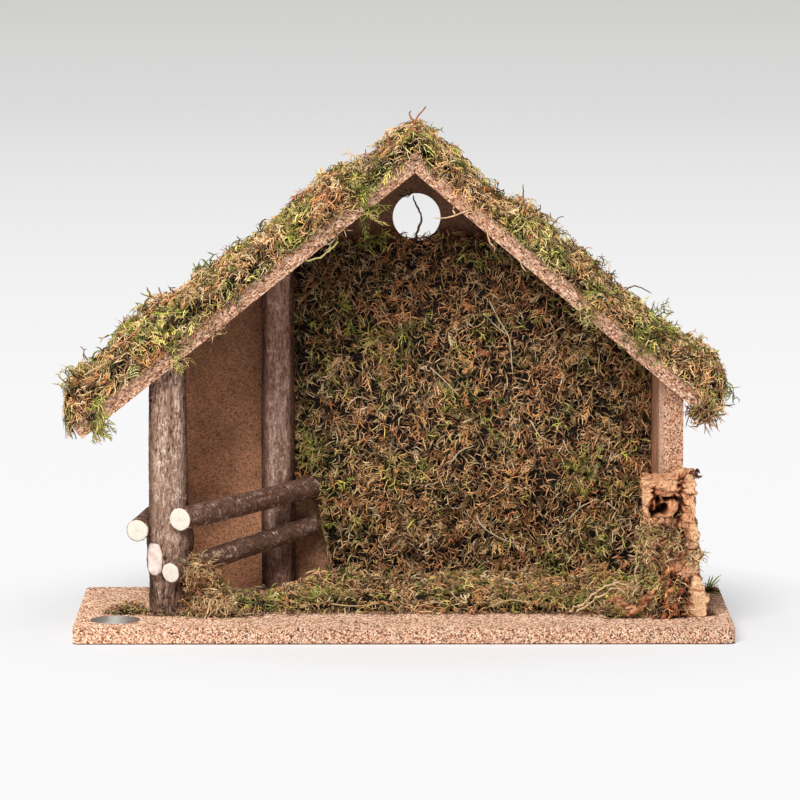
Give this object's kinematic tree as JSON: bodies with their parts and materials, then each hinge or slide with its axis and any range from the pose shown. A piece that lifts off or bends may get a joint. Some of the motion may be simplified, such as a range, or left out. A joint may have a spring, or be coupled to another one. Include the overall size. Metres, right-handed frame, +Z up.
{
  "type": "nativity stable",
  "caption": "Gabled wooden stable for crib figures: open front, mossy roof and back wall, log corral on the left, cork bark at the right wall, on a flat base board.",
  "frame": {"origin": "centre of the base board's underside", "axes": "+X to the right and +Y to the back as seen from the open front, +Z up"},
  "size_m": [0.4138, 0.1635, 0.3077],
  "materials": {
    "granular_board": "raw pressed granules",
    "chipboard": "raw chipboard",
    "hardboard": "matte brown hardboard",
    "post_bark": "fissured bark",
    "rail_bark": "dark bark",
    "cut_wood": "pale sawn wood",
    "cork": "raw cork bark",
    "moss": "dried moss",
    "straw": "dry stems",
    "silver_foil": "silver-grey foil paper",
    "nail_steel": "bright wire"
  },
  "bodies": {
    "root": {"base_board": "granular_board", "back_panel": "hardboard", "right_wall_board": "chipboard", "right_wall_lining": "hardboard", "left_roof_board": "chipboard", "right_roof_board": "chipboard", "front_left_post": "post_bark", "back_left_post": "post_bark", "upper_right_rail": "rail_bark", "lower_right_rail": "rail_bark", "left_side_rail": "rail_bark", "cork_bark_block": "cork", "bark_chips": "cork", "left_roof_moss": "moss", "right_roof_moss": "moss", "back_wall_moss": "moss", "floor_moss": "moss", "front_post_moss": "moss", "cork_moss": "moss", "round_sticker": "silver_foil", "base_nails": "nail_steel", "roof_nails": "nail_steel", "panel_brads": "nail_steel"}
  },
  "joints": []
}
